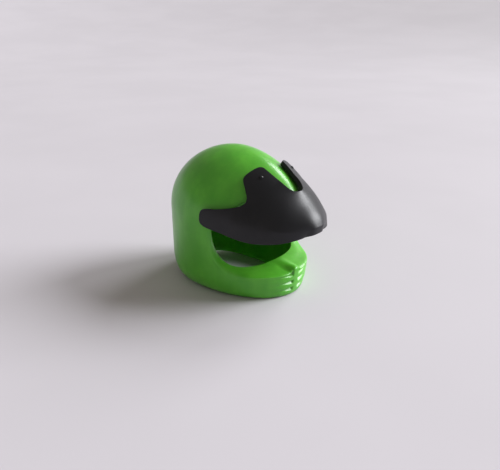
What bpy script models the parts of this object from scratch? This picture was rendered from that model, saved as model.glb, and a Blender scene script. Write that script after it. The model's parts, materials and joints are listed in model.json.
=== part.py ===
"""Toy motocross helmet: a moulded shell and a peak that tilts on two pegs at the ears.

Frame: +Z up, the face looks along -Y, the wearer's right is -X. The origin is under the
middle of the helmet, on the surface that it stands on. Everything is in metres.
"""
import math

import bmesh
import bpy
import numpy as np
from mathutils import Matrix

MM = 0.001

# Shell: overall form
SHELL_WIDTH = 25.0 * MM          # across the widest level
SHELL_HEIGHT = 27.7 * MM         # neck rim to crown
WIDEST_LEVEL = 15.1 * MM         # height of the widest level
BACK_REACH = 14.1 * MM           # ear line to the back of the dome
BROW_REACH = 19.5 * MM           # ear line to the front of the dome, if it were closed
CHIN_REACH = 16.8 * MM           # ear line to the front of the chin guard
EAR_LINE = -1.0 * MM             # Y of the widest station
NECK_TAPER = 0.0 * MM            # how much narrower each side is at the neck
NAPE_TAPER = 0.3 * MM            # how much the back draws in at the neck
FRONT_SQUARENESS = 1.64          # of the dome: 2 is an ellipse, more is boxier
BACK_SQUARENESS = 2.0
CHIN_SQUARENESS = 2.04
TUCK_DEPTH = 3.0 * MM            # how far the neck rim rolls under
TUCK_HEIGHT = 4.5 * MM
NAPE_LIFT = 2.8 * MM             # how far the rim clears the table at the nape
NAPE_LIFT_START = 5.0 * MM       # Y where the rim starts to rise
WALL = 1.3 * MM
NECK_ROLL = 3.0 * MM             # how much thicker the wall is at the neck rim
NECK_ROLL_HEIGHT = 7.0 * MM
CHIN_INNER_REACH = 11.5 * MM     # ear line to the inner face of the chin guard

# Face port, seen from the side, and its flared lip
PORT_BACK = -5.8 * MM
PORT_BOTTOM = 6.2 * MM
PORT_TOP = 20.6 * MM
PORT_MIDDLE = 13.6 * MM
PORT_FRONT = -13.0 * MM          # where the side curve of the port runs out
PORT_SQUARENESS = 2.6            # below its middle
PORT_TOP_SQUARENESS = 1.2        # above it, behind the peak
LIP_WIDTH_BACK = 0.55 * MM
LIP_WIDTH_BOTTOM = 0.95 * MM
LIP_WIDTH_TOP = 0.5 * MM
LIP_EDGE = 0.6 * MM              # thickness left at the edge of the port
LIP_BULGE = 0.5 * MM

# Chin guard details
NOSE_HEIGHT = 0.95 * MM          # ridge along the middle of the chin guard's top
NOSE_HALF_WIDTH = 1.7 * MM
LOUVRE_COUNT = 3
LOUVRE_PITCH = 1.55 * MM
LOUVRE_LOWEST = 1.45 * MM
LOUVRE_HEIGHT = 0.95 * MM
LOUVRE_START = 0.75 * MM         # half width of the rib between the two sets
LOUVRE_LENGTH = 3.2 * MM
LOUVRE_DEPTH = 0.55 * MM

# Peak and its pivot
PIVOT_Y = -5.3 * MM
PIVOT_Z = 17.0 * MM
PEG_RADIUS = 0.65 * MM
PEG_CLEARANCE = 0.2 * MM
PEG_REACH = 0.5 * MM             # how far the peg stands proud of the wall inside
PEAK_WALL = 0.9 * MM
PEAK_GAP = 0.25 * MM             # dome to the inside of the peak
PEAK_REACH = 22.9 * MM           # origin to the tip of the peak
TIP_HEIGHT = 17.9 * MM           # of the crest behind the tip
CREASE = 0.9                     # how sharply the edge turns down round the front
GAP_BOTTOM = 18.5 * MM           # origin to the bottom of the gap between the upper arms

# The whole is centred over the origin, so its Y runs equally far each way
FRAME_SHIFT = (PEAK_REACH - BACK_REACH - EAR_LINE) / 2

# Mesh resolution
AROUND = 72
ROWS = 16

BROW_SIDE = SHELL_HEIGHT - WIDEST_LEVEL
EYE = np.array([0.0, EAR_LINE, 13.0 * MM])     # inner point that every ray starts from
FOLD_ANGLE = math.radians(33.0)                # below straight ahead: between port and neck
FOLD_DISTANCE = 1.1                            # of the fold line, in radii of the ray sphere


def clear_scene():
    for thing in list(bpy.data.objects):
        bpy.data.objects.remove(thing, do_unlink=True)


def new_collection(name):
    collection = bpy.data.collections.new(name)
    bpy.context.scene.collection.children.link(collection)
    return collection


def plastic(name, colour, roughness):
    material = bpy.data.materials.new(name)
    material.use_nodes = True
    shader = material.node_tree.nodes["Principled BSDF"]
    shader.inputs["Base Color"].default_value = (*colour, 1.0)
    shader.inputs["Roughness"].default_value = roughness
    shader.inputs["Metallic"].default_value = 0.0
    return material


def smooth_step(value, low, high):
    t = np.clip((value - low) / (high - low), 0.0, 1.0)
    return t * t * (3.0 - 2.0 * t)


def rim_height(y):
    """Height of the neck rim over the table."""
    return NAPE_LIFT * smooth_step(y, NAPE_LIFT_START, BACK_REACH + EAR_LINE)


def rolled_under(p):
    """How far both skins have rolled in at this point, near the rim."""
    drop = np.clip(1.0 - (p[2] - rim_height(p[1])) / TUCK_HEIGHT, 0.0, 1.0)
    return TUCK_DEPTH * (1.0 - np.sqrt(1.0 - np.minimum(drop, 0.98) ** 2))


def rounded_form(p, half_width, front, back, crown, squareness):
    """Signed size of a superellipsoid round the ear line: below 0 is inside."""
    x, y, z = p
    reach = np.where(y < EAR_LINE, front, back)
    up = np.maximum(z - WIDEST_LEVEL, 0.0) / crown
    total = (np.abs(x) / half_width) ** squareness
    total = total + (np.abs(y - EAR_LINE) / reach) ** squareness + up ** squareness
    return total ** (1.0 / squareness) - 1.0


def dome_squareness(y):
    share = smooth_step(y, EAR_LINE - BROW_REACH, EAR_LINE + BACK_REACH)
    return FRONT_SQUARENESS + (BACK_SQUARENESS - FRONT_SQUARENESS) * share


def outer_skin(p):
    z = p[2]
    low = smooth_step(-z, -WIDEST_LEVEL, -0.2 * WIDEST_LEVEL)
    tuck = rolled_under(p)
    half_width = SHELL_WIDTH / 2 - NECK_TAPER * low - tuck
    front = BROW_REACH + (CHIN_REACH - BROW_REACH) * low - 0.25 * tuck
    back = BACK_REACH - NAPE_TAPER * low - tuck * 0.6
    dome = dome_squareness(p[1])
    squareness = dome + (CHIN_SQUARENESS - dome) * low
    return rounded_form(p, half_width, front, back, BROW_SIDE, squareness)


def inner_skin(p, grow=0.0):
    z = p[2]
    low = smooth_step(-z, -WIDEST_LEVEL, -0.2 * WIDEST_LEVEL)
    chin = smooth_step(-z, -1.2 * WIDEST_LEVEL, -0.55 * WIDEST_LEVEL)
    inset = WALL - grow
    roll = smooth_step(-z, -NECK_ROLL_HEIGHT, 0.0) * NECK_ROLL
    tuck = rolled_under(p) + roll
    half_width = SHELL_WIDTH / 2 - NECK_TAPER * low - tuck - inset
    front = BROW_REACH - inset
    front = front + (CHIN_INNER_REACH + grow - front) * chin
    back = BACK_REACH - NAPE_TAPER * low - tuck * 0.6 - roll * 0.4 - inset
    squareness = dome_squareness(p[1]) + 0.75 * chin
    return rounded_form(p, half_width, front, back, BROW_SIDE - inset, squareness)


def lip_skin(p):
    return inner_skin(p, LIP_EDGE)


def port_outline(y, z, widen):
    """Signed size of the port seen from the side: below 0 is in the opening."""
    back = PORT_BACK + widen * LIP_WIDTH_BACK - PORT_FRONT
    below = PORT_MIDDLE - PORT_BOTTOM + widen * LIP_WIDTH_BOTTOM
    above = PORT_TOP - PORT_MIDDLE + widen * LIP_WIDTH_TOP
    rise = np.where(z < PORT_MIDDLE, below, above)
    squareness = np.where(z < PORT_MIDDLE, PORT_SQUARENESS, PORT_TOP_SQUARENESS)
    total = (np.maximum(y - PORT_FRONT, 0.0) / back) ** squareness
    total = total + (np.abs(z - PORT_MIDDLE) / rise) ** squareness
    return total - 1.0


def ray(turn, station):
    """Unit direction from the eye: on the plane turned about the fold line, at a station
    round it. Station 0 is straight ahead and pi is the back of the head."""
    fold = -FOLD_DISTANCE * np.array([math.cos(FOLD_ANGLE), math.sin(FOLD_ANGLE)])
    along = np.stack([np.cos(turn), np.sin(turn)])
    foot = fold[:, None] - along * (fold[0] * along[0] + fold[1] * along[1])
    radius = np.sqrt(np.maximum(1.0 - (foot ** 2).sum(axis=0), 1e-9))
    yz = foot - along * radius * np.cos(station)
    return np.stack([radius * np.sin(station), yz[0], yz[1]])


def cast(skin, direction):
    """Points where rays from the eye leave a skin."""
    near = np.zeros(direction.shape[1])
    far = np.full(direction.shape[1], 2.0 * SHELL_HEIGHT)
    for _ in range(40):
        middle = (near + far) / 2
        inside = skin(EYE[:, None] + direction * middle) < 0
        near = np.where(inside, middle, near)
        far = np.where(inside, far, middle)
    return EYE[:, None] + direction * near


def turn_where(skin, station, test, low, high):
    """The turn at each station where the skin's point passes a test from - to +."""
    low = np.full(station.shape, math.radians(low))
    high = np.full(station.shape, math.radians(high))
    for _ in range(34):
        middle = (low + high) / 2
        passed = test(cast(skin, ray(middle, station))) > 0
        high = np.where(passed, middle, high)
        low = np.where(passed, low, middle)
    return (low + high) / 2


def skin_rows(skin, station, widen, fractions):
    """Loops of points on a skin between the neck rim and the outline of the port."""
    neck = turn_where(skin, station, lambda p: p[2] - rim_height(p[1]), -26.0, 20.0)
    port = turn_where(skin, station, lambda p: -port_outline(p[1], p[2], widen), 0.0, 100.0)
    return [cast(skin, ray(neck + (port - neck) * t, station)) for t in fractions]


def nose_lift(p, share):
    """Raise the middle of the chin guard's top into a ridge."""
    across = np.clip(1.0 - (p[0] / NOSE_HALF_WIDTH) ** 2, 0.0, 1.0) ** 2
    ahead = p[1] < PORT_BACK
    lifted = p.copy()
    lifted[2] = p[2] + share * NOSE_HEIGHT * across * ahead * (p[2] < PORT_MIDDLE)
    return lifted


def shell_loops():
    """Closed loops of points, out over the shell, in through the port and back inside."""
    station = np.arange(AROUND) * 2.0 * math.pi / AROUND
    fractions = [row / (ROWS - 1) for row in range(ROWS)]
    outside = skin_rows(outer_skin, station, 1.0, fractions)
    edge = skin_rows(lip_skin, station, 0.0, [1.0])[0]
    inside = skin_rows(inner_skin, station, 0.0, fractions)
    shoulder = nose_lift(outside[-1], 1.0)
    middle = (outside[-1] + edge) / 2
    outward = middle - EYE[:, None]
    bulge = LIP_BULGE * smooth_step(-middle[2], -PORT_MIDDLE, -1.2 * PORT_BOTTOM)
    middle = nose_lift(middle + outward * (bulge / np.linalg.norm(outward, axis=0)), 0.5)
    below = nose_lift(outside[-2], 0.3)
    return outside[:-2] + [below, shoulder, middle, edge] + inside[::-1]


def ring_mesh(name, loops):
    """A closed ring of quads through loops of points, each loop joined to the next."""
    mesh = bpy.data.meshes.new(name)
    form = bmesh.new()
    rows = [[form.verts.new(point) for point in loop.T] for loop in loops]
    for row, following in zip(rows, rows[1:] + rows[:1]):
        for i in range(len(row)):
            k = (i + 1) % len(row)
            form.faces.new((row[i], row[k], following[k], following[i]))
    bmesh.ops.recalc_face_normals(form, faces=form.faces)
    form.to_mesh(mesh)
    form.free()
    return mesh


def add_object(name, mesh, collection):
    thing = bpy.data.objects.new(name, mesh)
    collection.objects.link(thing)
    return thing


def hide_as_cutter(thing):
    thing.hide_render = True
    thing.display_type = "WIRE"


def boolean(thing, other, operation):
    modifier = thing.modifiers.new(operation.lower(), "BOOLEAN")
    modifier.operation = operation
    modifier.solver = "EXACT"
    modifier.object = other


def rod_mesh(name, radius, length):
    """A round rod along X, centred on the origin."""
    mesh = bpy.data.meshes.new(name)
    form = bmesh.new()
    bmesh.ops.create_cone(form, cap_ends=True, segments=32, radius1=radius, radius2=radius,
                          depth=length, matrix=Matrix.Rotation(math.pi / 2, 4, "Y"))
    form.to_mesh(mesh)
    form.free()
    return mesh


def louvre_mesh(name, side):
    """A wedge that is deep and tall beside the rib and runs out to a point sideways."""
    mesh = bpy.data.meshes.new(name)
    form = bmesh.new()
    bmesh.ops.create_cone(form, cap_ends=True, segments=4, radius1=LOUVRE_HEIGHT / math.sqrt(2),
                          radius2=0.0, depth=LOUVRE_LENGTH,
                          matrix=Matrix.Rotation(math.pi / 4, 4, "Z"))
    bmesh.ops.transform(form, verts=form.verts,
                        matrix=Matrix.Rotation(side * math.pi / 2, 4, "Y"))
    form.to_mesh(mesh)
    form.free()
    return mesh


def add_louvres(shell, cutters):
    front = EAR_LINE - CHIN_REACH
    for side in (-1, 1):
        for step in range(LOUVRE_COUNT):
            name = f"louvre_cutter_{'right' if side < 0 else 'left'}_{step + 1}"
            wedge = add_object(name, louvre_mesh(name, side), cutters)
            wedge.location = (side * (LOUVRE_START + LOUVRE_LENGTH / 2),
                              front + LOUVRE_DEPTH * 0.2,
                              LOUVRE_LOWEST + step * LOUVRE_PITCH)
            hide_as_cutter(wedge)
            boolean(shell, wedge, "DIFFERENCE")


def make_shell(collection, cutters):
    shell = add_object("helmet_shell", ring_mesh("helmet_shell", shell_loops()), collection)
    shell.data.materials.append(plastic("green_plastic", (0.10, 0.42, 0.05), 0.28))
    hole = add_object("ear_hole_cutter",
                      rod_mesh("ear_hole_cutter", PEG_RADIUS + PEG_CLEARANCE, 2 * SHELL_WIDTH),
                      cutters)
    hole.location = (0.0, PIVOT_Y, PIVOT_Z)
    hide_as_cutter(hole)
    boolean(shell, hole, "DIFFERENCE")
    add_louvres(shell, cutters)
    shell.data.shade_smooth()
    shell.data.set_sharp_from_angle(angle=math.radians(40))


def peak_cage():
    """Control points of the peak's left half, in millimetres.

    Each station runs from the crest down to the lower edge; the first two are the band
    that turns down at the front. The two arms branch off the last station at its third
    point: the upper arm over the crown, the lower to the ear.
    """
    tip = PEAK_REACH / MM
    top = TIP_HEIGHT / MM
    gap = GAP_BOTTOM / MM
    stations = [
        [(0, 0.2 - tip, top - 3.4), (0.8, 0.2 - tip, top - 3.4), (1.5, 0.4 - tip, top - 3.5),
         (2.1, 0.8 - tip, top - 3.6), (2.7, 1.3 - tip, top - 3.7)],
        [(0, -tip, top - 2.1), (0.9, -tip, top - 2.1), (1.7, 0.2 - tip, top - 2.2),
         (2.4, 0.7 - tip, top - 2.3), (3.1, 1.3 - tip, top - 3.8)],
        [(0, 0.9 - tip, top), (1.7, 0.9 - tip, top - 0.3), (3.0, 1.1 - tip, top - 1.3),
         (4.0, 1.4 - tip, top - 2.3), (4.8, 1.7 - tip, top - 3.9)],
        [(0, -20.0, 19.7), (2.8, -19.9, 19.0), (5.3, -19.9, 17.5), (6.9, -19.7, 15.7),
         (7.4, -19.6, 13.6)],
        [(0, -gap, 21.6), (3.4, 0.5 - gap, 20.9), (6.3, -17.7, 19.1), (8.5, -17.4, 16.3),
         (9.2, -17.2, 13.4)],
        [(1.9, 1.0 - gap, 21.9), (4.7, -16.2, 21.4), (7.6, -15.4, 19.8), (9.8, -15.1, 16.8),
         (10.4, -14.8, 13.3)],
        [(2.3, 3.0 - gap, 23.4), (5.6, -14.4, 22.3), (8.9, -13.1, 20.0), (11.0, -12.6, 17.0),
         (11.6, -12.2, 13.8)],
    ]
    upper = [
        [(2.6, -13.4, 24.3), (5.2, -12.5, 23.4), (7.9, -11.7, 21.8)],
        [(2.8, -11.9, 25.2), (4.9, -11.2, 24.6), (7.3, -10.5, 23.2)],
        [(2.9, -10.9, 25.6), (4.8, -10.3, 25.1), (6.8, -9.7, 24.0)],
    ]
    lower = [
        [(10.7, -9.9, 19.0), (11.6, -9.5, 16.6), (12.0, -9.3, 14.2)],
        [(11.8, -6.8, 18.4), (12.3, -6.7, 16.7), (12.4, -6.7, 14.8)],
        [(12.0, -4.4, 18.2), (12.4, -4.3, 16.8), (12.4, -4.4, 15.2)],
    ]
    return stations, upper, lower


def strip_faces(form, rows):
    for row, following in zip(rows, rows[1:]):
        for i in range(len(row) - 1):
            form.faces.new((row[i], row[i + 1], following[i + 1], following[i]))


def peak_sheet_mesh():
    stations, upper, lower = peak_cage()
    mesh = bpy.data.meshes.new("peak")
    form = bmesh.new()

    def vertices(points):
        return [form.verts.new([MM * value for value in point]) for point in points]

    rows = [vertices(points) for points in stations]
    strip_faces(form, rows)
    crease = form.edges.layers.float.new("crease_edge")
    front = rows[1]
    for point, following in zip(front[:3], front[1:4]):
        form.edges.get((point, following))[crease] = CREASE
    for row, following in zip(rows[1:4], rows[2:5]):
        form.edges.get((row[3], following[3]))[crease] = CREASE
    branch = rows[-1]
    strip_faces(form, [branch[:3]] + [vertices(points) for points in upper])
    strip_faces(form, [branch[2:]] + [vertices(points) for points in lower])
    form.to_mesh(mesh)
    form.free()
    return mesh


def closed_dome_mesh(name):
    """The outer skin as one closed form, with neither port nor neck."""
    mesh = bpy.data.meshes.new(name)
    form = bmesh.new()
    bmesh.ops.create_icosphere(form, subdivisions=5, radius=1.0)
    directions = np.array([vertex.co.normalized() for vertex in form.verts]).T
    for vertex, point in zip(form.verts, cast(outer_skin, directions).T):
        vertex.co = (point[0], point[1], max(point[2], 0.0))
    form.to_mesh(mesh)
    form.free()
    return mesh


def ear_half_width():
    """Half the width of the shell at the pivot."""
    inside, outside = 0.0, SHELL_WIDTH
    for _ in range(40):
        middle = (inside + outside) / 2
        if outer_skin(np.array([middle, PIVOT_Y, PIVOT_Z])) < 0:
            inside = middle
        else:
            outside = middle
    return inside


def make_peak(collection, cutters):
    guide = add_object("closed_dome", closed_dome_mesh("closed_dome"), cutters)
    hide_as_cutter(guide)
    peak = add_object("peak", peak_sheet_mesh(), collection)
    peak.location = (0.0, PIVOT_Y, PIVOT_Z)
    peak.data.transform(Matrix.Translation((0.0, -PIVOT_Y, -PIVOT_Z)))
    peak.data.materials.append(plastic("black_plastic", (0.012, 0.012, 0.014), 0.22))

    mirror = peak.modifiers.new("both_halves", "MIRROR")
    mirror.merge_threshold = 0.00001
    rounding = peak.modifiers.new("rounding", "SUBSURF")
    rounding.levels = 2
    rounding.render_levels = 2
    drape = peak.modifiers.new("over_the_dome", "SHRINKWRAP")
    drape.target = guide
    drape.wrap_method = "NEAREST_SURFACEPOINT"
    drape.wrap_mode = "OUTSIDE"
    drape.offset = PEAK_GAP + PEAK_WALL
    wall = peak.modifiers.new("wall", "SOLIDIFY")
    wall.thickness = PEAK_WALL
    wall.offset = -1.0
    wall.use_even_offset = True

    inner_end = ear_half_width() - WALL - PEG_REACH
    outer_end = ear_half_width() + PEAK_GAP + PEAK_WALL / 2
    for side in (-1, 1):
        name = f"peg_{'right' if side < 0 else 'left'}"
        peg = add_object(name, rod_mesh(name, PEG_RADIUS, outer_end - inner_end), cutters)
        peg.location = (side * (outer_end + inner_end) / 2, PIVOT_Y, PIVOT_Z)
        hide_as_cutter(peg)
        boolean(peak, peg, "UNION")
    peak.data.shade_smooth()


def main():
    clear_scene()
    parts = new_collection("toy_motocross_helmet")
    cutters = new_collection("cutters")
    make_shell(parts, cutters)
    make_peak(parts, cutters)
    for thing in bpy.data.objects:
        thing.location.y += FRAME_SHIFT


main()
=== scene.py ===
"""Toy motocross helmet: the finished look of the moulded shell and its tilting peak.

Frame: +Z up, the face looks along -Y, the wearer's right is -X. Everything is in metres.
"""
import json
import math

import bmesh
import bpy
import numpy as np
from bpy.props import FloatProperty, FloatVectorProperty, IntProperty, PointerProperty
from bpy.types import Operator, Panel, PropertyGroup
from mathutils import Matrix, Vector
from mathutils.bvhtree import BVHTree


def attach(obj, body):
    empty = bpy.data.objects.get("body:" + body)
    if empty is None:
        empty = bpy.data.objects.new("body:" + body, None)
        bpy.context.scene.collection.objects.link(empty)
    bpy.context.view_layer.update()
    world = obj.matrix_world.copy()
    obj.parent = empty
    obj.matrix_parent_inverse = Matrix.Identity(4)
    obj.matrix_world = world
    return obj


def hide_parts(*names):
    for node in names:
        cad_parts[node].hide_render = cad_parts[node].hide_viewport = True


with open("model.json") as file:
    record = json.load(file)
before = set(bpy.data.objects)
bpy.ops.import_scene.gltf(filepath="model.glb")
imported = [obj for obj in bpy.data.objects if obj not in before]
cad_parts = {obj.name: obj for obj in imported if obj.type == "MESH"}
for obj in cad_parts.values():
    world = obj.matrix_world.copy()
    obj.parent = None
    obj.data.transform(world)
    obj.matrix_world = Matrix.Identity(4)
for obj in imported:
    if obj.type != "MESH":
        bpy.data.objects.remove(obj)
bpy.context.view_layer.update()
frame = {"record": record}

bl_info = {
    "name": "Toy Motocross Helmet",
    "version": (1, 0, 0),
    "blender": (4, 5, 0),
    "location": "View3D > Sidebar > Helmet",
    "description": "Builds a play figure's motocross helmet and its studio stage",
    "category": "Add Mesh",
}

MM = 0.001
JOINT = frame["record"]["behaviour"]["joints"][0]
PIVOT = Vector(JOINT["pos_m"])


# Sizes and finishes

def length(name, millimetres, description):
    return FloatProperty(name=name, description=description, default=millimetres * MM,
                         unit="LENGTH", precision=5)


def share(name, value, description):
    return FloatProperty(name=name, description=description, default=value)


def whole(name, value, description):
    return IntProperty(name=name, description=description, default=value)


def angle(name, degrees, description):
    return FloatProperty(name=name, description=description, default=math.radians(degrees),
                         unit="ROTATION")


def colour(name, value, description):
    return FloatVectorProperty(name=name, description=description, default=value,
                               subtype="COLOR", size=3, min=0.0, max=1.0)


class HelmetShellSizes(PropertyGroup):
    width: length("Width", 25.0, "Across the widest level")
    height: length("Height", 27.7, "Neck rim to crown")
    widest_level: length("Widest level", 15.1, "Height of the widest level")
    ear_behind_pivot: length("Ear line", 4.3, "How far the ear line is behind the pivot")
    back_reach: length("Back reach", 14.1, "Ear line to the back of the dome")
    brow_reach: length("Brow reach", 19.5, "Ear line to the brow, if the dome were closed")
    chin_reach: length("Chin reach", 16.8, "Ear line to the front of the chin guard")
    chin_inner_reach: length("Chin inner reach", 11.5, "Ear line to the guard's inner face")
    nape_taper: length("Nape taper", 0.3, "How much the back draws in at the neck")
    front_squareness: share("Front squareness", 1.64, "2 is an ellipse, more is boxier")
    back_squareness: share("Back squareness", 2.0, "2 is an ellipse, more is boxier")
    chin_squareness: share("Chin squareness", 2.04, "2 is an ellipse, more is boxier")
    tuck_depth: length("Tuck depth", 3.0, "How far the neck rim rolls under")
    tuck_height: length("Tuck height", 4.5, "Height over which the rim rolls under")
    nape_lift: length("Nape lift", 2.8, "How far the rim clears the table at the nape")
    nape_lift_start: length("Nape lift start", 6.0, "Ear line to where the rim starts to rise")
    wall: length("Wall", 1.3, "Thickness of the moulding")
    neck_roll: length("Neck roll", 3.0, "How much thicker the wall is at the neck rim")
    neck_roll_height: length("Neck roll height", 7.0, "Height of that thickening")


class HelmetPortSizes(PropertyGroup):
    back: length("Back", 4.8, "Ear line forward to the port's back edge")
    front: length("Front", 12.0, "Ear line forward to where its side curve runs out")
    bottom: length("Bottom", 6.2, "Height of the port's lower edge")
    top: length("Top", 20.6, "Height of the port's upper edge")
    middle: length("Middle", 13.6, "Height where the port is longest")
    squareness: share("Squareness", 2.6, "Below the middle: 2 is an ellipse")
    top_squareness: share("Top squareness", 1.2, "Above the middle: 2 is an ellipse")
    lip_back: length("Lip at the back", 0.55, "Width of the flared lip behind the port")
    lip_bottom: length("Lip at the bottom", 0.95, "Width of the flared lip below the port")
    lip_top: length("Lip at the top", 0.5, "Width of the flared lip above the port")
    lip_edge: length("Lip edge", 0.6, "Thickness left at the edge of the port")
    lip_bulge: length("Lip bulge", 0.5, "How far the lip swells between its edges")
    nose_height: length("Nose height", 0.95, "Height of the ridge on the guard's top")
    nose_half_width: length("Nose half width", 1.7, "Half the width of that ridge")


class HelmetLouvreSizes(PropertyGroup):
    count: whole("Count", 3, "Louvres on each side of the rib")
    pitch: length("Pitch", 1.55, "From one louvre to the next")
    lowest: length("Lowest", 1.45, "Height of the lowest louvre")
    height: length("Height", 0.95, "Height of a louvre at the rib")
    start: length("Start", 0.75, "Half the width of the rib")
    reach: length("Reach", 3.2, "Length of a louvre from the rib to its point")
    depth: length("Depth", 0.55, "Depth of a louvre at the rib")
    ripple: length("Ripple", 0.10, "Depth of the shallow waves beyond the louvres")
    ripple_reach: length("Ripple reach", 9.0, "How far from the middle the waves run")


class HelmetPeakSizes(PropertyGroup):
    wall: length("Wall", 0.9, "Thickness of the moulding")
    gap: length("Gap", 0.25, "Dome to the inside of the peak")
    reach: length("Reach", 17.6, "Pivot to the tip")
    tip_height: length("Tip height", 17.9, "Height of the crest behind the tip")
    gap_bottom: length("Gap bottom", 13.2, "Pivot to the bottom of the gap between the arms")
    crease: share("Crease", 0.9, "How sharply the edge turns down round the front")
    edge_radius: length("Edge radius", 0.16, "Rounding of the moulded edges")
    peg_radius: length("Peg radius", 0.65, "Radius of the pegs at the ears")
    peg_clearance: length("Peg clearance", 0.2, "Peg to the hole it turns in")
    peg_reach: length("Peg reach", 0.5, "How far a peg stands proud inside the shell")
    pip_radius: length("Pip radius", 0.38, "Radius of the pip on each upper arm")
    pip_across: length("Pip across", 4.5, "Middle to the pip")
    pip_ahead: length("Pip ahead", 7.1, "Pivot forward to the pip")


class HelmetFinish(PropertyGroup):
    green: colour("Green", (0.075, 0.36, 0.022), "The shell's plastic")
    green_light: colour("Light green", (0.115, 0.47, 0.035), "Where the plastic is paler")
    green_roughness: share("Green roughness", 0.30, "Average roughness of the shell")
    black: colour("Black", (0.005, 0.0055, 0.008), "The peak's plastic")
    black_dust: colour("Dusty black", (0.016, 0.0155, 0.018), "Where the peak holds dust")
    black_roughness: share("Black roughness", 0.34, "Average roughness of the peak")
    floor: colour("Floor", (0.585, 0.56, 0.60), "The table")


class HelmetStudio(PropertyGroup):
    turn: angle("Camera turn", 47.35, "From straight ahead towards the wearer's right")
    lift: angle("Camera lift", 22.57, "Over the horizontal")
    distance: length("Camera distance", 120.0, "Camera to the point that it looks at")
    aim: FloatVectorProperty(name="Aim", description="The point that the camera looks at",
                             default=(4.715 * MM, 3.844 * MM, 6.622 * MM),
                             subtype="TRANSLATION", unit="LENGTH", precision=5)
    lens: FloatProperty(name="Lens", description="Focal length in millimetres",
                        default=38.97)
    key_strength: share("Key strength", 4.7, "Of the broad side light, in W/m2")
    key_turn: angle("Key turn", 55.0, "From straight ahead towards the wearer's left")
    key_lift: angle("Key lift", 27.0, "Over the horizontal")
    key_spread: angle("Key spread", 34.0, "How broad the light looks, for soft shadows")
    rim_strength: share("Rim strength", 1.3, "Of the light behind the dome, in W/m2")
    rim_turn: angle("Rim turn", 92.0, "From straight ahead towards the wearer's left")
    rim_lift: angle("Rim lift", 34.0, "Over the horizontal")
    rim_spread: angle("Rim spread", 24.0, "How broad the light looks")
    sky: share("Sky", 0.30, "Strength of the even light from all round")
    table_reach: length("Table reach", 400.0, "Radius of the flat part of the table")
    sweep_radius: length("Sweep radius", 2000.0, "Of the curve from table to backdrop")
    backdrop: length("Backdrop", 1500.0, "Length of the slope beyond the curve")


# Shape of the moulding

AROUND = 440                                 # points round each loop of the shell
OUTSIDE_ROWS = 104
INSIDE_ROWS = 48
LIP_ROWS = 12
RIM_ROWS = 10
FRONT_CROWDING = 0.35                        # how much closer the points are at the chin
FOLD_ANGLE = math.radians(33.0)              # below straight ahead: between port and neck
FOLD_DISTANCE = 1.1                          # of the fold line, in radii of the ray sphere
EYE_HEIGHT = 13.0 * MM                       # of the inner point that every ray starts from
ROUNDING_PASSES = 24                         # of the moulded edges of lip and rim
SHOULDER_REACH = 9.0                         # rows that the shoulder's rounding takes in
EDGE_REACH = 3.0                             # rows that the other edges' rounding takes in


def smooth_step(value, low, high):
    t = np.clip((value - low) / (high - low), 0.0, 1.0)
    return t * t * (3.0 - 2.0 * t)


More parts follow.
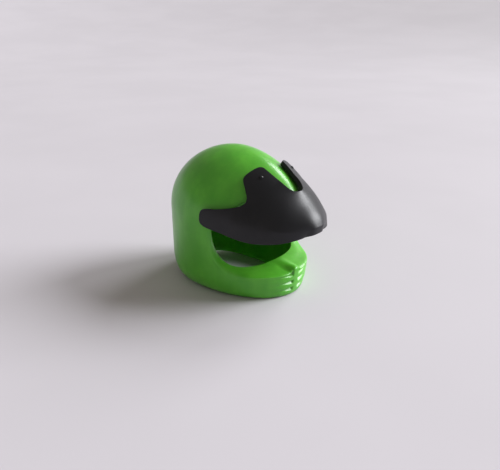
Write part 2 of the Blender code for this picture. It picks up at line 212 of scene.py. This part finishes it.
class Moulding:
    """The shell's surfaces, worked out from its sizes. A point's Y is from the pivot."""

    def __init__(self, scene):
        self.shell = scene.helmet_shell
        self.port = scene.helmet_port
        self.louvres = scene.helmet_louvres
        self.ear = self.shell.ear_behind_pivot
        self.eye = np.array([0.0, self.ear, EYE_HEIGHT])

    def rim_height(self, y):
        start = self.ear + self.shell.nape_lift_start
        return self.shell.nape_lift * smooth_step(y, start, self.ear + self.shell.back_reach)

    def rolled_under(self, p):
        """How far both skins have rolled in at this point, near the rim."""
        drop = np.clip(1.0 - (p[2] - self.rim_height(p[1])) / self.shell.tuck_height, 0.0, 1.0)
        return self.shell.tuck_depth * (1.0 - np.sqrt(1.0 - np.minimum(drop, 0.98) ** 2))

    def rounded_form(self, p, half_width, front, back, crown, squareness):
        """Signed size of a superellipsoid round the ear line: below 0 is inside."""
        x, y, z = p
        reach = np.where(y < self.ear, front, back)
        up = np.maximum(z - self.shell.widest_level, 0.0) / crown
        total = (np.abs(x) / half_width) ** squareness
        total = total + (np.abs(y - self.ear) / reach) ** squareness + up ** squareness
        return total ** (1.0 / squareness) - 1.0

    def dome_squareness(self, y):
        sizes = self.shell
        along = smooth_step(y, self.ear - sizes.brow_reach, self.ear + sizes.back_reach)
        return sizes.front_squareness + along * (sizes.back_squareness - sizes.front_squareness)

    def lower_share(self, z):
        level = self.shell.widest_level
        return smooth_step(-z, -level, -0.2 * level)

    def outer_skin(self, p):
        sizes = self.shell
        low = self.lower_share(p[2])
        tuck = self.rolled_under(p)
        front = sizes.brow_reach + (sizes.chin_reach - sizes.brow_reach) * low - 0.25 * tuck
        back = sizes.back_reach - sizes.nape_taper * low - 0.6 * tuck
        dome = self.dome_squareness(p[1])
        return self.rounded_form(p, sizes.width / 2 - tuck, front, back,
                                 sizes.height - sizes.widest_level,
                                 dome + (sizes.chin_squareness - dome) * low)

    def inner_skin(self, p, grow=0.0):
        sizes = self.shell
        level = sizes.widest_level
        chin = smooth_step(-p[2], -1.2 * level, -0.55 * level)
        inset = sizes.wall - grow
        roll = smooth_step(-p[2], -sizes.neck_roll_height, 0.0) * sizes.neck_roll
        tuck = self.rolled_under(p) + roll
        front = sizes.brow_reach - inset
        front = front + (sizes.chin_inner_reach + grow - front) * chin
        back = sizes.back_reach - sizes.nape_taper * self.lower_share(p[2])
        back = back - 0.6 * tuck - 0.4 * roll - inset
        return self.rounded_form(p, sizes.width / 2 - tuck - inset, front, back,
                                 sizes.height - level - inset,
                                 self.dome_squareness(p[1]) + 0.75 * chin)

    def lip_skin(self, p):
        return self.inner_skin(p, self.port.lip_edge)

    def port_outline(self, y, z, widen):
        """Signed size of the port seen from the side: below 0 is in the opening."""
        port = self.port
        front = self.ear - port.front
        back = self.ear - port.back + widen * port.lip_back - front
        below = port.middle - port.bottom + widen * port.lip_bottom
        above = port.top - port.middle + widen * port.lip_top
        rise = np.where(z < port.middle, below, above)
        squareness = np.where(z < port.middle, port.squareness, port.top_squareness)
        total = (np.maximum(y - front, 0.0) / back) ** squareness
        return total + (np.abs(z - port.middle) / rise) ** squareness - 1.0

    def cast(self, skin, direction):
        """Points where rays from the eye leave a skin."""
        near = np.zeros(direction.shape[1])
        far = np.full(direction.shape[1], 2.0 * self.shell.height)
        for _ in range(40):
            middle = (near + far) / 2
            inside = skin(self.eye[:, None] + direction * middle) < 0
            near = np.where(inside, middle, near)
            far = np.where(inside, far, middle)
        return self.eye[:, None] + direction * near

    def turn_where(self, skin, station, test, low, high):
        """The turn at each station where the skin's point passes a test from - to +."""
        low = np.full(station.shape, math.radians(low))
        high = np.full(station.shape, math.radians(high))
        for _ in range(34):
            middle = (low + high) / 2
            passed = test(self.cast(skin, ray(middle, station))) > 0
            high = np.where(passed, middle, high)
            low = np.where(passed, low, middle)
        return (low + high) / 2

    def skin_rows(self, skin, station, widen, count):
        """Loops of points on a skin from the neck rim to the outline of the port."""
        neck = self.turn_where(skin, station, lambda p: p[2] - self.rim_height(p[1]),
                               -26.0, 20.0)
        port = self.turn_where(skin, station, lambda p: -self.port_outline(p[1], p[2], widen),
                               0.0, 100.0)
        return [self.cast(skin, ray(neck + (port - neck) * t, station))
                for t in np.linspace(0.0, 1.0, count)]

    def nose_lift(self, p, amount):
        """Raise the middle of the chin guard's top into a ridge."""
        port = self.port
        across = np.clip(1.0 - (p[0] / port.nose_half_width) ** 2, 0.0, 1.0) ** 2
        on_guard = (p[1] < self.ear - port.back) * (p[2] < port.middle)
        lifted = p.copy()
        lifted[2] = p[2] + amount * port.nose_height * across * on_guard
        return lifted

    def cut_louvres(self, p):
        """Press the louvres and the waves beyond them into the front of the guard."""
        sizes = self.louvres
        side = np.abs(p[0])
        out = np.clip((side - sizes.start) / sizes.reach, 0.0, 1.0)
        half = np.maximum(sizes.height * (1.0 - out) / 2, 0.02 * MM)
        cut = np.zeros_like(side)
        for step in range(sizes.count):
            rise = np.clip((p[2] - sizes.lowest - step * sizes.pitch) / half, -1.0, 1.0)
            ramp = (1.0 + rise) * smooth_step(-rise, -1.0, -0.55)
            cut = cut + 0.7 * ramp * (1.0 - out) * sizes.depth
        cut = cut * smooth_step(side, sizes.start - 0.1 * MM, sizes.start + 0.1 * MM)
        top = sizes.lowest + (sizes.count - 0.4) * sizes.pitch
        band = smooth_step(p[2], 0.0, sizes.lowest) * smooth_step(-p[2], -top, 0.6 * MM - top)
        fade = smooth_step(side, 0.3 * MM, sizes.start + 1.2 * MM)
        fade = fade * (1.0 - smooth_step(side, sizes.start + sizes.reach / 2, sizes.ripple_reach))
        wave = 0.5 + 0.5 * np.cos((p[2] - sizes.lowest) / sizes.pitch * 2.0 * math.pi)
        ahead = p[1] < self.ear - 0.45 * self.shell.chin_reach
        pressed = p.copy()
        pressed[1] = p[1] + (cut + sizes.ripple * wave * band * fade) * ahead
        return pressed

    def loops(self):
        """Closed loops of points: out over the shell, in through the port, back inside."""
        even = np.arange(AROUND) * 2.0 * math.pi / AROUND
        station = even - FRONT_CROWDING * np.sin(even)
        outside = self.skin_rows(self.outer_skin, station, 1.0, OUTSIDE_ROWS)
        edge = self.skin_rows(self.lip_skin, station, 0.0, 2)[1]
        inside = self.skin_rows(self.inner_skin, station, 0.0, INSIDE_ROWS)
        outside = [self.nose_lift(row, smooth_step(i / OUTSIDE_ROWS, 0.84, 1.0))
                   for i, row in enumerate(self.cut_louvres(row) for row in outside)]
        lip = []
        shoulder = outside[-1]
        for step in range(1, LIP_ROWS):
            t = step / LIP_ROWS
            point = shoulder * (1.0 - t) + self.nose_lift(edge, 0.15) * t
            outward = point - self.eye[:, None]
            low = smooth_step(-point[2], -self.port.middle, -1.2 * self.port.bottom)
            swell = self.port.lip_bulge * 4.0 * t * (1.0 - t) * low
            lip.append(point + outward * (swell / np.linalg.norm(outward, axis=0)))
        rim = [inside[0] * (1.0 - t) + outside[0] * t
               for t in np.linspace(0.0, 1.0, RIM_ROWS + 2)[1:-1]]
        return outside + lip + [edge] + inside[::-1] + rim


def ray(turn, station):
    """Unit direction from the eye: on the plane turned about the fold line, at a station
    round it. Station 0 is straight ahead and pi is the back of the head."""
    fold = -FOLD_DISTANCE * np.array([math.cos(FOLD_ANGLE), math.sin(FOLD_ANGLE)])
    along = np.stack([np.cos(turn), np.sin(turn)])
    foot = fold[:, None] - along * (fold[0] * along[0] + fold[1] * along[1])
    radius = np.sqrt(np.maximum(1.0 - (foot ** 2).sum(axis=0), 1e-9))
    yz = foot - along * radius * np.cos(station)
    return np.stack([radius * np.sin(station), yz[0], yz[1]])


def round_edges(loops):
    """Round the shoulder, the lip's edge and the two corners of the neck rim."""
    rows = np.array(loops)
    edges = ((OUTSIDE_ROWS - 1, SHOULDER_REACH), (OUTSIDE_ROWS + LIP_ROWS - 1, EDGE_REACH),
             (OUTSIDE_ROWS + LIP_ROWS + INSIDE_ROWS - 1, EDGE_REACH), (0, EDGE_REACH))
    index = np.arange(len(rows))
    weight = np.zeros(len(rows))
    for edge, reach in edges:
        apart = np.abs(index - edge)
        apart = np.minimum(apart, len(rows) - apart)
        weight = np.maximum(weight, np.clip(1.0 - apart / reach, 0.0, 1.0))
    weight = weight[:, None, None]
    for _ in range(ROUNDING_PASSES):
        level = (np.roll(rows, 1, axis=0) + np.roll(rows, -1, axis=0)) / 2
        rows = rows + 0.5 * weight * (level - rows)
    return rows


# Meshes and objects

def ring_mesh(name, loops):
    """A closed ring of quads through loops of points, each loop joined to the next."""
    count = loops.shape[2]
    points = loops.transpose(0, 2, 1).reshape(-1, 3)
    row = np.arange(len(loops))[:, None] * count
    after = np.roll(row, -1, axis=0)
    here = np.arange(count)[None, :]
    beside = (here + 1) % count
    faces = np.stack([row + here, after + here, after + beside, row + beside], axis=-1)
    mesh = bpy.data.meshes.new(name)
    mesh.from_pydata(points.tolist(), [], faces.reshape(-1, 4).tolist())
    form = bmesh.new()
    form.from_mesh(mesh)
    bmesh.ops.recalc_face_normals(form, faces=form.faces)
    form.to_mesh(mesh)
    form.free()
    return mesh


def add_object(name, mesh):
    thing = bpy.data.objects.new(name, mesh)
    bpy.context.scene.collection.objects.link(thing)
    return thing


def baked(thing, *helpers):
    """Turn an object's modifiers into mesh and remove what they used."""
    graph = bpy.context.evaluated_depsgraph_get()
    mesh = bpy.data.meshes.new_from_object(thing.evaluated_get(graph))
    thing.modifiers.clear()
    thing.data = mesh
    for helper in helpers:
        bpy.data.objects.remove(helper, do_unlink=True)
    return thing


def finished(thing, material, sharp_degrees):
    """Give a piece its one material and smooth shading with its sharp edges kept."""
    thing.data.materials.clear()
    thing.data.materials.append(material)
    thing.data.polygons.foreach_set("material_index", [0] * len(thing.data.polygons))
    thing.data.shade_smooth()
    thing.data.set_sharp_from_angle(angle=math.radians(sharp_degrees))
    return thing


def rod_mesh(name, radius, size):
    """A round rod along X through the pivot."""
    mesh = bpy.data.meshes.new(name)
    form = bmesh.new()
    place = Matrix.Translation(PIVOT) @ Matrix.Rotation(math.pi / 2, 4, "Y")
    bmesh.ops.create_cone(form, cap_ends=True, segments=64, radius1=radius, radius2=radius,
                          depth=size, matrix=place)
    form.to_mesh(mesh)
    form.free()
    return mesh


def closed_dome_mesh(moulding):
    """The outer skin as one closed form, with neither port nor neck."""
    mesh = bpy.data.meshes.new("closed_dome")
    form = bmesh.new()
    bmesh.ops.create_icosphere(form, subdivisions=6, radius=1.0)
    directions = np.array([vertex.co.normalized() for vertex in form.verts]).T
    points = moulding.cast(moulding.outer_skin, directions).T
    for vertex, point in zip(form.verts, points):
        vertex.co = (point[0], point[1] + PIVOT.y, max(point[2], 0.0))
    form.to_mesh(mesh)
    form.free()
    return mesh


def peak_cage(sizes):
    """Control points of the peak's left half, in millimetres, with Y from the pivot.

    Each station runs from the crest down to the lower edge; the first two are the band
    that turns down at the front. The two arms branch off the last station at its third
    point: the upper arm over the crown, the lower to the ear.
    """
    tip = sizes.reach / MM
    top = sizes.tip_height / MM
    gap = sizes.gap_bottom / MM
    stations = [
        [(0, 0.2 - tip, top - 3.4), (0.8, 0.2 - tip, top - 3.4), (1.5, 0.4 - tip, top - 3.5),
         (2.1, 0.8 - tip, top - 3.6), (2.7, 1.3 - tip, top - 3.7)],
        [(0, -tip, top - 2.1), (0.9, -tip, top - 2.1), (1.7, 0.2 - tip, top - 2.2),
         (2.4, 0.7 - tip, top - 2.3), (3.1, 1.3 - tip, top - 3.8)],
        [(0, 0.9 - tip, top), (1.7, 0.9 - tip, top - 0.3), (3.0, 1.1 - tip, top - 1.3),
         (4.0, 1.4 - tip, top - 2.3), (4.8, 1.7 - tip, top - 3.9)],
        [(0, -14.7, 19.7), (2.8, -14.6, 19.0), (5.3, -14.6, 17.5), (6.9, -14.4, 15.7),
         (7.4, -14.3, 13.6)],
        [(0, -gap, 21.6), (3.4, 0.5 - gap, 20.9), (6.3, -12.4, 19.1), (8.5, -12.1, 16.3),
         (9.2, -11.9, 13.4)],
        [(1.9, 1.0 - gap, 21.9), (4.7, -10.9, 21.4), (7.6, -10.1, 19.8), (9.8, -9.8, 16.8),
         (10.4, -9.5, 13.3)],
        [(2.3, 3.0 - gap, 23.4), (5.6, -9.1, 22.3), (8.9, -7.8, 20.0), (11.0, -7.3, 17.0),
         (11.6, -6.9, 13.8)],
    ]
    upper = [
        [(2.6, -8.1, 24.3), (5.2, -7.2, 23.4), (7.9, -6.4, 21.8)],
        [(2.8, -6.6, 25.2), (4.9, -5.9, 24.6), (7.3, -5.2, 23.2)],
        [(2.9, -5.6, 25.6), (4.8, -5.0, 25.1), (6.8, -4.4, 24.0)],
    ]
    lower = [
        [(10.7, -4.6, 19.0), (11.6, -4.2, 16.6), (12.0, -4.0, 14.2)],
        [(11.8, -1.5, 18.4), (12.3, -1.4, 16.7), (12.4, -1.4, 14.8)],
        [(12.0, 0.9, 18.2), (12.4, 1.0, 16.8), (12.4, 0.9, 15.2)],
    ]
    return stations, upper, lower


def strip_faces(form, rows):
    for row, following in zip(rows, rows[1:]):
        for i in range(len(row) - 1):
            form.faces.new((row[i], row[i + 1], following[i + 1], following[i]))


def peak_sheet_mesh(sizes):
    stations, upper, lower = peak_cage(sizes)
    mesh = bpy.data.meshes.new("peak_sheet")
    form = bmesh.new()

    def vertices(points):
        return [form.verts.new((x * MM, y * MM + PIVOT.y, z * MM)) for x, y, z in points]

    rows = [vertices(points) for points in stations]
    strip_faces(form, rows)
    crease = form.edges.layers.float.new("crease_edge")
    front = rows[1]
    for point, following in zip(front[:3], front[1:4]):
        form.edges.get((point, following))[crease] = sizes.crease
    for row, following in zip(rows[1:4], rows[2:5]):
        form.edges.get((row[3], following[3]))[crease] = sizes.crease
    branch = rows[-1]
    strip_faces(form, [branch[:3]] + [vertices(points) for points in upper])
    strip_faces(form, [branch[2:]] + [vertices(points) for points in lower])
    form.to_mesh(mesh)
    form.free()
    return mesh


def shaped_peak(sizes, guide):
    """The peak's sheet rounded, draped over the dome, given its wall and its edges."""
    peak = add_object("peak_moulding", peak_sheet_mesh(sizes))
    mirror = peak.modifiers.new("both_halves", "MIRROR")
    mirror.merge_threshold = 0.00001
    rounding = peak.modifiers.new("rounding", "SUBSURF")
    rounding.levels = 4
    rounding.render_levels = 4
    drape = peak.modifiers.new("over_the_dome", "SHRINKWRAP")
    drape.target = guide
    drape.wrap_method = "NEAREST_SURFACEPOINT"
    drape.wrap_mode = "OUTSIDE"
    drape.offset = sizes.gap + sizes.wall
    wall = peak.modifiers.new("wall", "SOLIDIFY")
    wall.thickness = sizes.wall
    wall.offset = -1.0
    wall.use_even_offset = True
    edges = peak.modifiers.new("edges", "BEVEL")
    edges.width = sizes.edge_radius
    edges.segments = 3
    edges.limit_method = "ANGLE"
    edges.angle_limit = math.radians(60)
    return peak


# Geometry Nodes: a matched pair of small parts, one on each side

def pair_tree(name, base, base_inputs, turned):
    """A node tree that sets one small form on each side of the helmet."""
    tree = bpy.data.node_groups.new(name, "GeometryNodeTree")
    tree.is_modifier = True
    face = tree.interface
    face.new_socket("Geometry", in_out="OUTPUT", socket_type="NodeSocketGeometry")
    names = ["Across", "Along", "Up", *base_inputs]
    for label in names:
        socket = face.new_socket(label, in_out="INPUT", socket_type="NodeSocketFloat")
        socket.subtype = "DISTANCE"
    face.new_socket("Material", in_out="INPUT", socket_type="NodeSocketMaterial")
    nodes, links = tree.nodes, tree.links
    given = nodes.new("NodeGroupInput").outputs
    mirrored = nodes.new("ShaderNodeMath")
    mirrored.operation = "MULTIPLY"
    mirrored.inputs[1].default_value = -1.0
    links.new(given["Across"], mirrored.inputs[0])
    line = nodes.new("GeometryNodeMeshLine")
    line.mode = "END_POINTS"
    line.inputs["Count"].default_value = 2
    for across, end in ((mirrored.outputs[0], "Start Location"), (given["Across"], "Offset")):
        place = nodes.new("ShaderNodeCombineXYZ")
        links.new(across, place.inputs["X"])
        links.new(given["Along"], place.inputs["Y"])
        links.new(given["Up"], place.inputs["Z"])
        links.new(place.outputs[0], line.inputs[end])
    form = nodes.new(base)
    for label in base_inputs:
        links.new(given[label], form.inputs[label])
    turn = nodes.new("GeometryNodeTransform")
    turn.inputs["Rotation"].default_value = turned
    links.new(form.outputs["Mesh"], turn.inputs["Geometry"])
    pair = nodes.new("GeometryNodeInstanceOnPoints")
    links.new(line.outputs["Mesh"], pair.inputs["Points"])
    links.new(turn.outputs["Geometry"], pair.inputs["Instance"])
    real = nodes.new("GeometryNodeRealizeInstances")
    links.new(pair.outputs["Instances"], real.inputs["Geometry"])
    coat = nodes.new("GeometryNodeSetMaterial")
    links.new(real.outputs["Geometry"], coat.inputs["Geometry"])
    links.new(given["Material"], coat.inputs["Material"])
    out = nodes.new("NodeGroupOutput")
    links.new(coat.outputs["Geometry"], out.inputs["Geometry"])
    return tree, form


def placed_pair(name, tree, material, sizes):
    """An object made by a pair tree, with its named inputs set."""
    thing = add_object(name, bpy.data.meshes.new(name))
    modifier = thing.modifiers.new("pair", "NODES")
    modifier.node_group = tree
    for socket in tree.interface.items_tree:
        if socket.in_out == "INPUT":
            value = material if socket.name == "Material" else sizes[socket.name]
            modifier[socket.identifier] = value
    return thing


# Materials

class Field:
    """A value in a shader, written in expressions as a number is."""

    def __init__(self, tree, socket):
        self.tree = tree
        self.socket = socket

    def node(self, kind, inputs, output=0, **settings):
        """Any other node: its type, its inputs by name, and its settings."""
        made = self.tree.nodes.new(kind)
        for key, value in settings.items():
            setattr(made, key, value)
        by_id = {socket.identifier: socket for socket in made.inputs}
        for key, value in inputs.items():
            connect(self.tree, value, by_id[key])
        by_out = {socket.identifier: socket for socket in made.outputs}
        return Field(self.tree, by_out[output] if isinstance(output, str)
                     else made.outputs[output])

    def maths(self, operation, first, second):
        return self.node("ShaderNodeMath", {"Value": first, "Value_001": second},
                         operation=operation)

    def __add__(self, other):
        return self.maths("ADD", self, other)

    __radd__ = __add__

    def __sub__(self, other):
        return self.maths("SUBTRACT", self, other)

    def __rsub__(self, other):
        return self.maths("SUBTRACT", other, self)

    def __mul__(self, other):
        return self.maths("MULTIPLY", self, other)

    __rmul__ = __mul__

    def mask(self, low, high):
        """0 below low, 1 above high, and smooth between them."""
        return self.node("ShaderNodeMapRange",
                         {"Value": self, "From Min": low, "From Max": high},
                         output="Result", interpolation_type="SMOOTHSTEP")

    def mixed(self, first, second):
        """A colour between two others, by this value."""
        return self.node("ShaderNodeMix",
                         {"Factor_Float": self, "A_Color": first, "B_Color": second},
                         output="Result_Color", data_type="RGBA")

    def noise(self, scale, detail=3.0, roughness=0.55):
        """Noise at this many waves to the metre, on these coordinates."""
        return self.node("ShaderNodeTexNoise",
                         {"Vector": self, "Scale": scale, "Detail": detail,
                          "Roughness": roughness})

    def stretched(self, factors):
        """These coordinates with each axis scaled on its own."""
        return self.node("ShaderNodeVectorMath", {"Vector": self, "Vector_001": factors},
                         operation="MULTIPLY")

    def bump(self, strength, distance):
        return self.node("ShaderNodeBump", {"Height": self, "Strength": strength,
                                            "Distance": distance})


def connect(tree, value, socket):
    """Link a field to a socket, or set a plain value on it."""
    if isinstance(value, Field):
        tree.links.new(value.socket, socket)
    elif socket.type == "RGBA":
        socket.default_value = (*value, 1.0)
    else:
        socket.default_value = value


def new_material(name):
    """A material, the function that sets its Principled inputs, and Object coordinates."""
    material = bpy.data.materials.new(name)
    material.use_nodes = True
    tree = material.node_tree
    shader = tree.nodes["Principled BSDF"]

    def finish(inputs):
        for key, value in inputs.items():
            connect(tree, value, shader.inputs[key])

    place = tree.nodes.new("ShaderNodeTexCoord").outputs["Object"]
    return material, finish, Field(tree, place)


def green_plastic(look):
    """Satin moulded plastic: faint flow mottling, orange peel and handling marks."""
    material, finish, place = new_material("green_plastic")
    cloud = place.noise(110.0, 4.0)
    flow = place.stretched((1.0, 1.0, 0.35)).noise(420.0, 3.0)
    peel = place.noise(2600.0, 2.0)
    grain = place.noise(9000.0, 2.0)
    scuffs = place.stretched((1.0, 0.25, 1.6)).noise(1500.0, 5.0, 0.7).mask(0.60, 0.72)
    tone = (cloud * 0.7 + flow * 0.3).mask(0.36, 0.66)
    finish({
        "Base Color": tone.mixed(look.green, look.green_light),
        "Roughness": look.green_roughness - 0.05 + cloud * 0.08 + peel * 0.04 + scuffs * 0.08,
        "Normal": (peel * 0.8 + grain * 0.25 - scuffs * 0.1).bump(0.22, 0.00006),
        "Coat Weight": 0.12,
        "Coat Roughness": 0.18,
        "IOR": 1.45,
        "Subsurface Weight": 0.35,
        "Subsurface Radius": (0.35, 1.0, 0.25),
        "Subsurface Scale": 1.2 * MM,
    })
    return material


def black_plastic(look):
    """Glossy black moulded plastic with hairline scratches and a little dust."""
    material, finish, place = new_material("black_plastic")
    cloud = place.noise(160.0, 4.0)
    peel = place.noise(2200.0, 2.0)
    grain = place.noise(8000.0, 2.0)
    hairs = place.stretched((0.15, 2.2, 1.4)).noise(2600.0, 4.0, 0.65).mask(0.62, 0.70)
    crossed = place.stretched((2.0, 0.12, 1.3)).noise(2300.0, 4.0, 0.65).mask(0.63, 0.70)
    specks = place.noise(5200.0, 1.0).mask(0.70, 0.78)
    marks = (hairs + crossed) * 0.5
    dust = cloud.mask(0.42, 0.74) * 0.35 + specks * 0.4 + marks * 0.15
    finish({
        "Base Color": dust.mixed(look.black, look.black_dust),
        "Roughness": look.black_roughness + cloud * 0.08 + marks * 0.12 + peel * 0.03,
        "Normal": (peel * 0.6 + grain * 0.25 - marks * 0.35).bump(0.20, 0.00006),
        "Coat Weight": 0.08,
        "Coat Roughness": 0.25,
        "IOR": 1.38,
    })
    return material


def table_top(look):
    material, finish, place = new_material("table_top")
    cloud = place.noise(14.0, 3.0)
    grain = place.noise(1400.0, 2.0)
    darker = tuple(0.96 * value for value in look.floor)
    finish({
        "Base Color": cloud.mask(0.3, 0.7).mixed(darker, look.floor),
        "Roughness": 0.75 + grain * 0.1,
        "Normal": grain.bump(0.05, 0.00005),
    })
    return material


# Operators, one for each piece and one for the stage

class HELMET_OT_shell(Operator):
    """Build the moulded green shell with its port, chin guard and louvres"""
    bl_idname = "helmet.shell"
    bl_label = "Build Shell"

    def execute(self, context):
        scene = context.scene
        loops = round_edges(Moulding(scene).loops())
        loops[:, 1, :] += PIVOT.y
        shell = add_object("shell_moulding", ring_mesh("shell_moulding", loops))
        peak = scene.helmet_peak
        hole = add_object("ear_holes", rod_mesh("ear_holes", peak.peg_radius
                                                + peak.peg_clearance,
                                                2 * scene.helmet_shell.width))
        pierce = shell.modifiers.new("ear_holes", "BOOLEAN")
        pierce.operation = "DIFFERENCE"
        pierce.solver = "EXACT"
        pierce.object = hole
        finished(baked(shell, hole), green_plastic(scene.helmet_finish), 50)
        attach(shell, "helmet")
        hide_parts("helmet_shell")
        return {"FINISHED"}


class HELMET_OT_peak(Operator):
    """Build the black peak, the pegs that it turns on and its two pips"""
    bl_idname = "helmet.peak"
    bl_label = "Build Peak"

    def execute(self, context):
        scene = context.scene
        sizes = scene.helmet_peak
        moulding = Moulding(scene)
        black = black_plastic(scene.helmet_finish)
        guide = add_object("closed_dome", closed_dome_mesh(moulding))
        surface = BVHTree.FromObject(guide, context.evaluated_depsgraph_get())
        ear = surface.ray_cast(Vector((1.0, PIVOT.y, PIVOT.z)), Vector((-1.0, 0.0, 0.0)))[0].x
        peak = finished(baked(shaped_peak(sizes, guide), guide), black, 60)
        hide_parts("peak")

        inner = ear - scene.helmet_shell.wall - sizes.peg_reach
        outer = ear + sizes.gap + sizes.wall / 2
        tree, rod = pair_tree("peg_pair", "GeometryNodeMeshCylinder", ["Radius", "Depth"],
                              (0.0, math.pi / 2, 0.0))
        rod.inputs["Vertices"].default_value = 64
        pegs = placed_pair("peak_pegs", tree, black,
                           {"Across": (inner + outer) / 2, "Along": PIVOT.y, "Up": PIVOT.z,
                            "Radius": sizes.peg_radius, "Depth": outer - inner})
        edges = pegs.modifiers.new("edges", "BEVEL")
        edges.width = sizes.edge_radius
        edges.segments = 3
        finished(baked(pegs), black, 60)

        skin = BVHTree.FromObject(peak, context.evaluated_depsgraph_get())
        above = Vector((sizes.pip_across, PIVOT.y - sizes.pip_ahead, 1.0))
        top = skin.ray_cast(above, Vector((0.0, 0.0, -1.0)))[0]
        tree, ball = pair_tree("pip_pair", "GeometryNodeMeshUVSphere", ["Radius"],
                               (0.0, 0.0, 0.0))
        ball.inputs["Segments"].default_value = 32
        ball.inputs["Rings"].default_value = 16
        pips = placed_pair("peak_pips", tree, black,
                           {"Across": top.x, "Along": top.y, "Up": top.z - 0.1 * MM,
                            "Radius": sizes.pip_radius})
        finished(baked(pips), black, 60)
        for piece in (peak, pegs, pips):
            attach(piece, "peak")
        return {"FINISHED"}


class HELMET_OT_stage(Operator):
    """Set up the table, the studio light and the camera"""
    bl_idname = "helmet.stage"
    bl_label = "Build Stage"

    def execute(self, context):
        scene = context.scene
        studio = scene.helmet_studio
        table = add_object("table", table_mesh(studio))
        finished(table, table_top(scene.helmet_finish), 60)

        world = bpy.data.worlds.new("studio")
        world.use_nodes = True
        background = world.node_tree.nodes["Background"]
        background.inputs["Color"].default_value = (1.0, 0.92, 0.82, 1.0)
        background.inputs["Strength"].default_value = studio.sky
        scene.world = world

        aim = Vector(studio.aim)
        for name in ("key", "rim"):
            light = bpy.data.lights.new(name, "SUN")
            light.energy = getattr(studio, name + "_strength")
            light.angle = getattr(studio, name + "_spread")
            light.color = (0.96, 0.97, 1.0)
            toward = direction(-getattr(studio, name + "_turn"), getattr(studio, name + "_lift"))
            self.look(add_object(name, light), toward, toward)

        lens = bpy.data.cameras.new("camera")
        lens.lens = studio.lens
        lens.clip_start = 5 * MM
        camera = add_object("camera", lens)
        toward = direction(studio.turn, studio.lift)
        self.look(camera, aim + toward * studio.distance, toward)
        scene.camera = camera
        scene.view_settings.view_transform = "Standard"
        return {"FINISHED"}

    def look(self, thing, place, away):
        """Put a light or camera at a place, facing against a direction."""
        thing.matrix_world = (Matrix.Translation(place)
                              @ away.to_track_quat("Z", "Y").to_matrix().to_4x4())


def table_mesh(studio):
    """A round table whose far edge rises all round into a gentle backdrop."""
    reach, radius = studio.table_reach, studio.sweep_radius
    mesh = bpy.data.meshes.new("table")
    form = bmesh.new()
    profile = [(reach * t, 0.0) for t in (0.0, 0.25, 0.5, 0.75)]
    for degrees in range(13):
        bend = math.radians(degrees)
        profile.append((reach + radius * math.sin(bend), radius * (1.0 - math.cos(bend))))
    profile.append((profile[-1][0] + studio.backdrop * math.cos(bend),
                    profile[-1][1] + studio.backdrop * math.sin(bend)))
    line = [form.verts.new((out, 0.0, up)) for out, up in profile]
    edges = [form.edges.new(pair) for pair in zip(line, line[1:])]
    bmesh.ops.spin(form, geom=line + edges, cent=(0.0, 0.0, 0.0), axis=(0.0, 0.0, 1.0),
                   angle=2.0 * math.pi, steps=96, use_merge=True)
    bmesh.ops.remove_doubles(form, verts=form.verts, dist=0.00001)
    for face in form.faces:
        if face.normal.z < 0.0:
            face.normal_flip()
    form.to_mesh(mesh)
    form.free()
    return mesh


def direction(turn, lift):
    """Unit direction: a turn from straight ahead to the wearer's right, and a lift."""
    return Vector((-math.sin(turn) * math.cos(lift), -math.cos(turn) * math.cos(lift),
                   math.sin(lift)))


class HELMET_PT_builder(Panel):
    """Sidebar panel that lists the helmet's operators and sizes"""
    bl_label = "Toy Motocross Helmet"
    bl_space_type = "VIEW_3D"
    bl_region_type = "UI"
    bl_category = "Helmet"

    def draw(self, context):
        for operator in OPERATORS:
            self.layout.operator(operator.bl_idname)
        for name, group in SETTINGS.items():
            box = self.layout.box()
            box.label(text=name.replace("_", " ").title())
            for key in group.__annotations__:
                box.prop(getattr(context.scene, name), key)


OPERATORS = (HELMET_OT_shell, HELMET_OT_peak, HELMET_OT_stage)
SETTINGS = {
    "helmet_shell": HelmetShellSizes,
    "helmet_port": HelmetPortSizes,
    "helmet_louvres": HelmetLouvreSizes,
    "helmet_peak": HelmetPeakSizes,
    "helmet_finish": HelmetFinish,
    "helmet_studio": HelmetStudio,
}
CLASSES = (*SETTINGS.values(), *OPERATORS, HELMET_PT_builder)


def register():
    for cls in CLASSES:
        bpy.utils.register_class(cls)
    for name, group in SETTINGS.items():
        setattr(bpy.types.Scene, name, PointerProperty(type=group))


def unregister():
    for name in SETTINGS:
        delattr(bpy.types.Scene, name)
    for cls in reversed(CLASSES):
        bpy.utils.unregister_class(cls)


def main():
    register()
    bpy.ops.helmet.shell()
    bpy.ops.helmet.peak()
    bpy.ops.helmet.stage()


if __name__ == "__main__":
    main()
